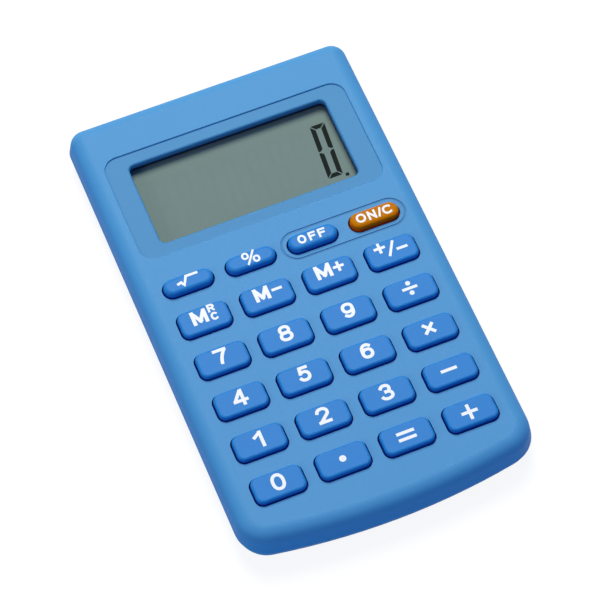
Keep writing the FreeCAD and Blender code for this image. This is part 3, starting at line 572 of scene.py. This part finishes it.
# Keys: hollow caps moulded in darker blue ABS, one of them in orange, in a finer mould, so that they
# are smoother than the case. Each has a lip that stops it under the case. The walls carry painted shade
# towards their foot. The orange key's top is dimmed to leave painted light on its rounded edge, and its
# edge and walls carry a redder painted shade.
WALL_TOP = 0.4 * MM
ROUND_TOP = 1.38 * MM
BLUE_WALL_PAINTED_SHADE = "7f86e8"
ORANGE_EDGE_PAINTED_SHADE = "ffb478"
ORANGE_WALL_PAINTED_SHADE = "ffb8a0"
ORANGE_TOP_DIMMED_FOR_PAINTED_EDGE_LIGHT = "c8dcff"
satin = {"IOR": 1.53, "Specular_IOR_Level": 0.08}
key_blue = mottled(
    "abs_satin_blue", "2781d1", "247dcc",
    cloud_mm=8.0, roughness=0.4, grain_mm=0.3, relief_mm=0.002,
    **satin,
)
key_orange = mottled(
    "abs_satin_orange", "f98b00", "f38600",
    cloud_mm=8.0, roughness=0.4, grain_mm=0.3, relief_mm=0.002,
    **dull,
)
wall_level = face_level + WALL_TOP
round_level = face_level + ROUND_TOP
# Painted shade on the key walls; on the orange key also a dimmed top, which leaves painted light on its
# rounded edge.
paint_shading_by_height(key_blue, wall_level, face_level, BLUE_WALL_PAINTED_SHADE)
paint_shading_by_height(key_orange, round_level, wall_level, ORANGE_EDGE_PAINTED_SHADE)
paint_shading_by_height(key_orange, wall_level, face_level, ORANGE_WALL_PAINTED_SHADE)
paint_shading_by_height(key_orange, wall_level, round_level, ORANGE_TOP_DIMMED_FOR_PAINTED_EDGE_LIGHT)
finish_nodes(key_blue, *key_nodes)
finish_nodes(key_orange, "key_on_clear")

# Key legends: white ink, printed on each key with a soft pad. The ink lies as a thin even film with
# square stroke ends, so it is drawn as lines of one weight.
INK_LIFT = 0.01 * MM
INK_SUNK = 0.02 * MM
INK_STEP = 0.001 * MM
INK_EDGE = 0.95
MITRE_LIMIT = 1.7
OVAL_POWER = 0.9
BEND_STEP = 10
SWEEP_POINTS = 12
FIGURE_WEIGHT = 0.68
CAPITAL_WEIGHT = 0.76
BESIDE_WEIGHT = 0.6
SMALL_WEIGHT = 0.45
RAISED_WEIGHT = 0.44


def line(*points):
    """Straight runs from each point to the next."""
    return np.array(points, float)


def bend(across, along, half_width, half_height, start, stop):
    """Points on an oval about (across, along), from one angle to another in degrees: the cosine and
    sine of the angle, squared off a little, times half its width and height."""
    angle = np.radians(np.linspace(start, stop, 3 + int(abs(stop - start) / BEND_STEP)))
    x = across + half_width * squared_off(np.cos(angle), OVAL_POWER)
    y = along + half_height * squared_off(np.sin(angle), OVAL_POWER)
    return np.column_stack([x, y])


def sweep(start, pull, stop):
    """A curve from start to stop, drawn towards pull: the weights are (1 - t) squared, 2 t (1 - t) and
    t squared."""
    share = np.linspace(0, 1, SWEEP_POINTS)[:, None]
    return (1 - share) ** 2 * start + 2 * share * (1 - share) * pull + share ** 2 * stop


# Each sign is a list of lines in a box one wide and one high.
SIX = [
    bend(0.5, 0.32, 0.5, 0.32, 0, 360),
    np.vstack([bend(0.54, 0.5, 0.54, 0.5, 52, 180), line((0, 0.36))]),
]
SIGNS = {
    "0": [bend(0.5, 0.5, 0.5, 0.5, 0, 360)],
    "1": [line((0.95, 0), (0.95, 1)), line((0.15, 0.72), (0.75, 0.93))],
    "2": [
        np.vstack([bend(0.5, 0.71, 0.5, 0.29, 165, -30), line((0.2, 0.1))]),
        line((0, 0), (1, 0)),
    ],
    "3": [bend(0.47, 0.755, 0.43, 0.245, 155, -90), bend(0.47, 0.265, 0.53, 0.265, 90, -155)],
    "4": [line((0.72, 0), (0.72, 1)), line((0.58, 0.92), (0.08, 0.38)), line((0, 0.27), (1, 0.27))],
    "5": [
        line((0.9, 1), (0.22, 1)),
        line((0.18, 0.95), (0.1, 0.58)),
        bend(0.47, 0.33, 0.53, 0.33, 122, -150),
    ],
    "6": SIX,
    "7": [line((0, 1), (1, 1)), sweep(line((0.96, 0.92)), line((0.5, 0.5)), line((0.38, 0)))],
    "8": [bend(0.5, 0.755, 0.43, 0.245, 0, 360), bend(0.5, 0.27, 0.5, 0.27, 0, 360)],
    "9": [1 - path for path in SIX],
    "M": [
        line((0, 0), (0, 1)),
        line((1, 0), (1, 1)),
        line((0.1, 0.86), (0.5, 0.12)),
        line((0.9, 0.86), (0.5, 0.12)),
    ],
    "N": [line((0, 0), (0, 1)), line((1, 0), (1, 1)), line((0.12, 0.86), (0.88, 0.14))],
    "O": [bend(0.5, 0.5, 0.5, 0.5, 0, 360)],
    "C": [bend(0.53, 0.5, 0.53, 0.5, 50, 310)],
    "F": [line((0, 0), (0, 1)), line((0.2, 1), (1, 1)), line((0.2, 0.5), (0.85, 0.5))],
    "R": [
        line((0, 0), (0, 1)),
        np.vstack([
            line((0.2, 1), (0.5, 1)),
            bend(0.55, 0.74, 0.45, 0.26, 80, -80),
            line((0.5, 0.48), (0.2, 0.48)),
        ]),
        line((0.6, 0.4), (0.92, 0.1)),
    ],
    "%": [
        bend(0.19, 0.74, 0.17, 0.23, 0, 360),
        bend(0.81, 0.26, 0.17, 0.23, 0, 360),
        line((0.22, 0.0), (0.78, 1.0)),
    ],
    "/": [line((0.12, 0.06), (0.88, 0.94))],
    "root": [line((0.02, 0.36), (0.17, 0.46), (0.27, 0.06), (0.48, 1), (1, 1))],
    "+": [line((0, 0.5), (1, 0.5)), line((0.5, 0), (0.5, 1))],
    "x": [line((0.08, 0.08), (0.92, 0.92)), line((0.08, 0.92), (0.92, 0.08))],
    "=": [line((0, 1), (1, 1)), line((0, 0), (1, 0))],
    "-": [line((0, 0.5), (1, 0.5))],
    "dot": [bend(0.5, 0.5, 0.5, 0.5, 0, 360)],
}

# What each key carries: sign, left, right, bottom and top from the key's middle in mm, and weight.
LEGENDS = {
    "zero": [("0", -1.32, 1.42, -1.52, 2.08, FIGURE_WEIGHT)],
    "point": [("dot", -0.68, 0.68, -0.55, 0.81, FIGURE_WEIGHT)],
    "equals": [("=", -1.89, 1.69, -0.94, 1.08, FIGURE_WEIGHT)],
    "plus": [("+", -1.84, 1.43, -1.60, 1.67, FIGURE_WEIGHT)],
    "one": [("1", -1.22, 0.97, -1.40, 2.06, FIGURE_WEIGHT)],
    "two": [("2", -1.25, 1.39, -1.36, 2.16, FIGURE_WEIGHT)],
    "three": [("3", -1.32, 1.31, -1.36, 2.16, FIGURE_WEIGHT)],
    "minus": [("-", -1.84, 1.43, -0.02, 0.60, FIGURE_WEIGHT)],
    "four": [("4", -1.55, 1.43, -1.37, 2.15, FIGURE_WEIGHT)],
    "five": [("5", -1.13, 1.32, -1.20, 2.16, FIGURE_WEIGHT)],
    "six": [("6", -1.26, 1.24, -1.23, 2.12, FIGURE_WEIGHT)],
    "times": [("x", -1.45, 1.16, -0.91, 1.72, FIGURE_WEIGHT)],
    "seven": [("7", -1.43, 1.27, -1.15, 2.24, FIGURE_WEIGHT)],
    "eight": [("8", -1.25, 1.45, -1.30, 2.26, FIGURE_WEIGHT)],
    "nine": [("9", -1.14, 1.38, -1.15, 2.20, FIGURE_WEIGHT)],
    "divide": [
        ("-", -1.6, 1.5, 0.15, 0.77, 0.62),
        ("dot", -0.52, 0.46, 1.1, 2.08, 0.49),
        ("dot", -0.52, 0.46, -1.12, -0.14, 0.49),
    ],
    "memory_recall": [
        ("M", -2.45, 0.75, -0.95, 2.12, CAPITAL_WEIGHT),
        ("R", 1.15, 2.62, 0.78, 2.52, RAISED_WEIGHT),
        ("C", 1.22, 2.70, -1.16, 0.60, RAISED_WEIGHT),
    ],
    "memory_minus": [
        ("M", -2.46, 0.65, -0.79, 2.20, CAPITAL_WEIGHT),
        ("-", 1.15, 3.25, 0.42, 1.02, BESIDE_WEIGHT),
    ],
    "memory_plus": [
        ("M", -2.66, 0.62, -0.76, 2.34, CAPITAL_WEIGHT),
        ("+", 0.98, 3.18, -0.34, 1.86, BESIDE_WEIGHT),
    ],
    "sign": [
        ("+", -3.22, -0.88, 0.16, 2.50, BESIDE_WEIGHT),
        ("/", -1.15, 1.35, -1.25, 2.30, 0.54),
        ("-", 1.03, 3.28, -0.33, 0.27, BESIDE_WEIGHT),
    ],
    "root": [("root", -2.34, 2.36, -1.0, 1.42, 0.56)],
    "percent": [("%", -1.66, 1.90, -1.30, 1.70, 0.43)],
    "off": [
        ("O", -3.05, -1.32, -0.82, 1.12, SMALL_WEIGHT),
        ("F", -0.78, 0.74, -0.80, 1.10, SMALL_WEIGHT),
        ("F", 1.18, 2.76, -0.80, 1.10, SMALL_WEIGHT),
    ],
    "on_clear": [
        ("O", -3.74, -1.74, -0.88, 1.14, SMALL_WEIGHT),
        ("N", -1.34, 0.38, -0.96, 1.06, SMALL_WEIGHT),
        ("/", 0.58, 1.72, -1.06, 1.20, 0.42),
        ("C", 1.74, 3.76, -0.96, 1.06, SMALL_WEIGHT),
    ],
}


def ink_line(path, weight, lift):
    """A low slab carried along a path: at each point its sides lie half the weight to the left and
    right, along the mitre of the two runs that meet there, and open ends are cut square half a weight
    further on."""
    closed = np.allclose(path[0], path[-1], atol=MERGE)
    if closed:
        path = path[:-1]
        steps_in = path - np.roll(path, 1, 0)
        steps_out = np.roll(path, -1, 0) - path
    else:
        steps = np.diff(path, axis=0)
        steps_in = np.vstack([steps[:1], steps])
        steps_out = np.vstack([steps, steps[-1:]])
    lefts = []
    for steps in (steps_in, steps_out):
        unit = steps / np.linalg.norm(steps, axis=1)[:, None]
        lefts.append(np.column_stack([-unit[:, 1], unit[:, 0]]))
    mitre = lefts[0] + lefts[1]
    length = np.linalg.norm(mitre, axis=1)
    mitre *= np.minimum(2 / length ** 2, MITRE_LIMIT / length)[:, None]
    if not closed:
        forward = np.column_stack([mitre[:, 1], -mitre[:, 0]]) * weight / 2
        path = np.vstack([path[0] - forward[0], path[1:-1], path[-1] + forward[-1]])
    across = np.array([-1, -INK_EDGE, INK_EDGE, 1]) * weight / 2
    heights = np.array([-INK_SUNK, lift, lift, -INK_SUNK])
    flat = path[:, None] + mitre[:, None] * across[None, :, None]
    levels = np.broadcast_to(heights[None, :, None], (*flat.shape[:2], 1))
    points = np.concatenate([flat, levels], -1)
    corners = len(across)
    faces = list(grid_faces(len(path), corners, closed_rows=closed, closed_columns=True)[:, ::-1])
    if not closed:
        ring = np.arange(corners)
        faces += [ring, ring[::-1] + corners * (len(path) - 1)]
    return points.reshape(-1, 3), faces


# The film of ink is slightly uneven, which breaks up its sheen.
ink_white = mottled(
    "pad_printing_ink_white", "f3f6fb", "e4ebf5",
    cloud_mm=0.8, roughness=0.55, grain_mm=0.15, relief_mm=0.002,
    IOR=1.5,
)
for key, signs in LEGENDS.items():
    node = "key_" + key
    place = np.array([*middle_of(node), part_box(node)[1].z])
    strokes = []
    for sign, left, right, bottom, top, weight in signs:
        corner = np.array([left, bottom]) + weight / 2
        spread = np.array([right - left, top - bottom]) - weight
        for path in SIGNS[sign]:
            lift = INK_LIFT + INK_STEP * len(strokes)
            strokes.append(ink_line((corner + spread * path) * MM, weight * MM, lift))
    points, faces = join(strokes)
    legend = mesh_piece("legend_" + key, points + place, faces, ink_white, smooth=False)
    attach(legend, node)

# Screws: cold-headed steel, zinc plated bright and a little blue, with a cross recess and a rolled
# thread. Four go up through the lower case, and four hold the board to the posts of the upper case.
SCREW_SIDES = 48
FACE_RINGS = 16
THREAD_PITCH = 0.7 * MM
THREAD_DEPTH = 0.12 * MM
THREAD_STEPS = 8
# Shares of the head's radius: the flat face, half a slot's width, the width of its flank, its reach from
# the middle and the run-out at its end.
FACE_SHARE = 0.86
SLOT_HALF = 0.224
SLOT_FLANK = 0.14
SLOT_REACH = 0.65
SLOT_END = 0.1
# Shares of the head's height for the rim and the slot, of the length for the shank, and of the shank's
# radius for the tip.
RIM_SHARE = 0.8
SLOT_DEPTH = 0.55
SHANK_SHARE = 0.9
TIP_SHARE = 0.5
# Head radius, head height, shank radius and length in mm, and the height of the seat.
CASE_SCREW = (1.7, 1.2, 0.9, 4.6)
CASE_SEAT = 2.0 * MM
BOARD_SCREW = (1.4, 0.7, 0.7, 3.4)
BOARD_SEAT = 2.8 * MM
END_POST = (21.0 * MM, 44.625 * MM)


def screw(head_radius, head_height, radius, length):
    """A screw with its head below its seat at height 0. Its section is turned about the axis, the
    shank's radius then falls by a triangle wave of height over pitch plus angle, and two crossed slots
    sink the head's face."""
    face_radii = np.linspace(0, FACE_SHARE * head_radius, FACE_RINGS)
    face = np.column_stack([face_radii, np.full(FACE_RINGS, -head_height)])
    rim = line((head_radius, -RIM_SHARE * head_height), (head_radius, 0))
    steps = np.linspace(0, SHANK_SHARE * length, int(THREAD_STEPS * length / THREAD_PITCH))
    shank = np.column_stack([np.full(len(steps), radius), steps])
    tip = line((TIP_SHARE * radius, length), (0, length))
    points, faces = turned(np.concatenate([face, rim, shank, tip]), SCREW_SIDES)
    across, along, height = points.T
    turn = np.arctan2(along, across) / (2 * np.pi)
    wave = np.abs(2 * ((height / THREAD_PITCH + turn) % 1) - 1)
    threaded = (height > 0) & (height < length)
    thin = np.where(threaded, 1 - THREAD_DEPTH / radius * wave, 1)
    arm = np.minimum(np.abs(across), np.abs(along)) / head_radius
    reach = np.hypot(across, along) / head_radius
    slot = np.clip((SLOT_HALF - arm) / SLOT_FLANK, 0, 1)
    slot *= np.clip((SLOT_REACH - reach) / SLOT_END, 0, 1)
    sink = np.where(height <= -head_height, SLOT_DEPTH * head_height * slot, 0)
    return np.column_stack([across * thin, along * thin, height + sink]), faces


def fit_screws(node, places, sizes, seat):
    """One piece with a screw at each place, standing for the modelled screws."""
    points, faces = screw(*(size * MM for size in sizes))
    shapes = [(points + np.array([x, y, seat]), faces) for x, y in places]
    piece = mesh_piece(node + "_threaded", *join(shapes), screw_zinc)
    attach(piece, "case")
    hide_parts(node)


def pair(across, along):
    """A place and its mirror image on the other side of the middle."""
    return [(across, along), (-across, along)]


def between(lower, upper):
    """A place in the gap beside each outer column, half way up the gap between two rows of keys."""
    across = np.mean([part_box("key_one")[1].x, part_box("key_two")[0].x])
    along = np.mean([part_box(lower)[1].y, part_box(upper)[0].y])
    return pair(across, along)


screw_zinc = mottled(
    "zinc_plated_steel_cold_headed", "b9bcc0", "9ea2a8",
    cloud_mm=0.6, roughness=0.32, grain_mm=0.1, relief_mm=0.002,
    Metallic=1.0,
)
case_places = pair(*END_POST) + between("key_zero", "key_one")
board_places = between("key_four", "key_seven") + between("key_sign", "key_root")
fit_screws("case_screws", case_places, CASE_SCREW, CASE_SEAT)
fit_screws("board_screws", board_places, BOARD_SCREW, BOARD_SEAT)

# Stage: a sheet of white paper, a soft lamp beyond the display end, a weak warm one at the left, an
# even bluish sky, and the camera.
FLOOR_SIZE = 2.0
FLOOR_DROP = 0.05 * MM
PAPER = "fafafa"
PAPER_SEEN = "696969"
PAPER_GLOW = 0.9
WHITE = (1, 1, 1, 1)
SKY = "4068a0"
# Watts, colour, width and place of each lamp.
LAMPS = {
    "main_lamp": (6.55, "fff7dd", 0.43, (0.093, 0.400, 0.684)),
    "side_lamp": (3.0, "ffeed6", 0.6, (-1.08, -0.30, 0.72)),
}
LENS_MM = 180.0
SENSOR_MM = 36.0
CAMERA_PLACE = (-0.09971, -0.269675, 0.51057)
CAMERA_RIGHT = (0.92645, -0.37604, -0.01713)
CAMERA_UP = (0.33511, 0.80316, 0.49260)
CAMERA_BACK = (-0.17148, -0.46211, 0.87009)


def seen_directly(owner):
    """1 for a ray that shows the background itself, straight, in a gloss or through glass, and 0 for
    the rest."""
    ways = add_node(owner, "ShaderNodeLightPath")
    either = add_node(
        owner,
        "ShaderNodeMath",
        {"operation": "MAXIMUM"},
        {0: (ways, "Is Camera Ray"), 1: (ways, "Is Glossy Ray")},
    )
    return add_node(
        owner,
        "ShaderNodeMath",
        {"operation": "MAXIMUM"},
        {0: (either, 0), 1: (ways, "Is Transmission Ray")},
    )


# Seen directly, the paper is a mid grey that glows, which gives white with a soft shadow on it.
paper, paper_surface = new_surface(
    "paper_white", Roughness=0.9, Specular_IOR_Level=0.0, Emission_Color=WHITE
)
half = FLOOR_SIZE / 2
corners = rectangle(-half, -half, half, half)
floor_points = np.column_stack([corners, np.full(len(corners), -FLOOR_DROP)])
floor = mesh_piece("floor", floor_points, [range(len(corners))], paper, smooth=False)
seen = seen_directly(paper)
paper_tone = add_node(
    paper,
    "ShaderNodeMix",
    {"data_type": "RGBA", 6: linear(PAPER), 7: linear(PAPER_SEEN)},
    {0: (seen, 0)},
)
glow = add_node(paper, "ShaderNodeMath", {"operation": "MULTIPLY", 1: PAPER_GLOW}, {0: (seen, 0)})
feed(paper, paper_surface, Base_Color=(paper_tone, 2), Emission_Strength=(glow, 0))

for name, (watts, colour, size, place) in LAMPS.items():
    lamp = bpy.data.objects.new(name, bpy.data.lights.new(name, "AREA"))
    lamp.data.shape = "DISK"
    lamp.data.size = size
    lamp.data.energy = watts
    lamp.data.color = linear(colour)[:3]
    lamp.location = place
    lamp.rotation_euler = lamp.location.to_track_quat("Z", "Y").to_euler()
    bpy.context.scene.collection.objects.link(lamp)

sky = bpy.data.worlds.new("sky")
sky.use_nodes = True
bpy.context.scene.world = sky
sky_tone = add_node(
    sky,
    "ShaderNodeMix",
    {"data_type": "RGBA", 6: linear(SKY), 7: WHITE},
    {0: (seen_directly(sky), 0)},
)
feed(sky, sky.node_tree.nodes["Background"], Color=(sky_tone, 2))

camera = bpy.data.objects.new("camera", bpy.data.cameras.new("camera"))
camera.data.lens = LENS_MM
camera.data.sensor_width = SENSOR_MM
turn = Matrix((CAMERA_RIGHT, CAMERA_UP, CAMERA_BACK)).transposed().to_4x4()
camera.matrix_world = Matrix.Translation(CAMERA_PLACE) @ turn
bpy.context.scene.collection.objects.link(camera)
bpy.context.scene.camera = camera
bpy.context.scene.view_settings.view_transform = "Standard"
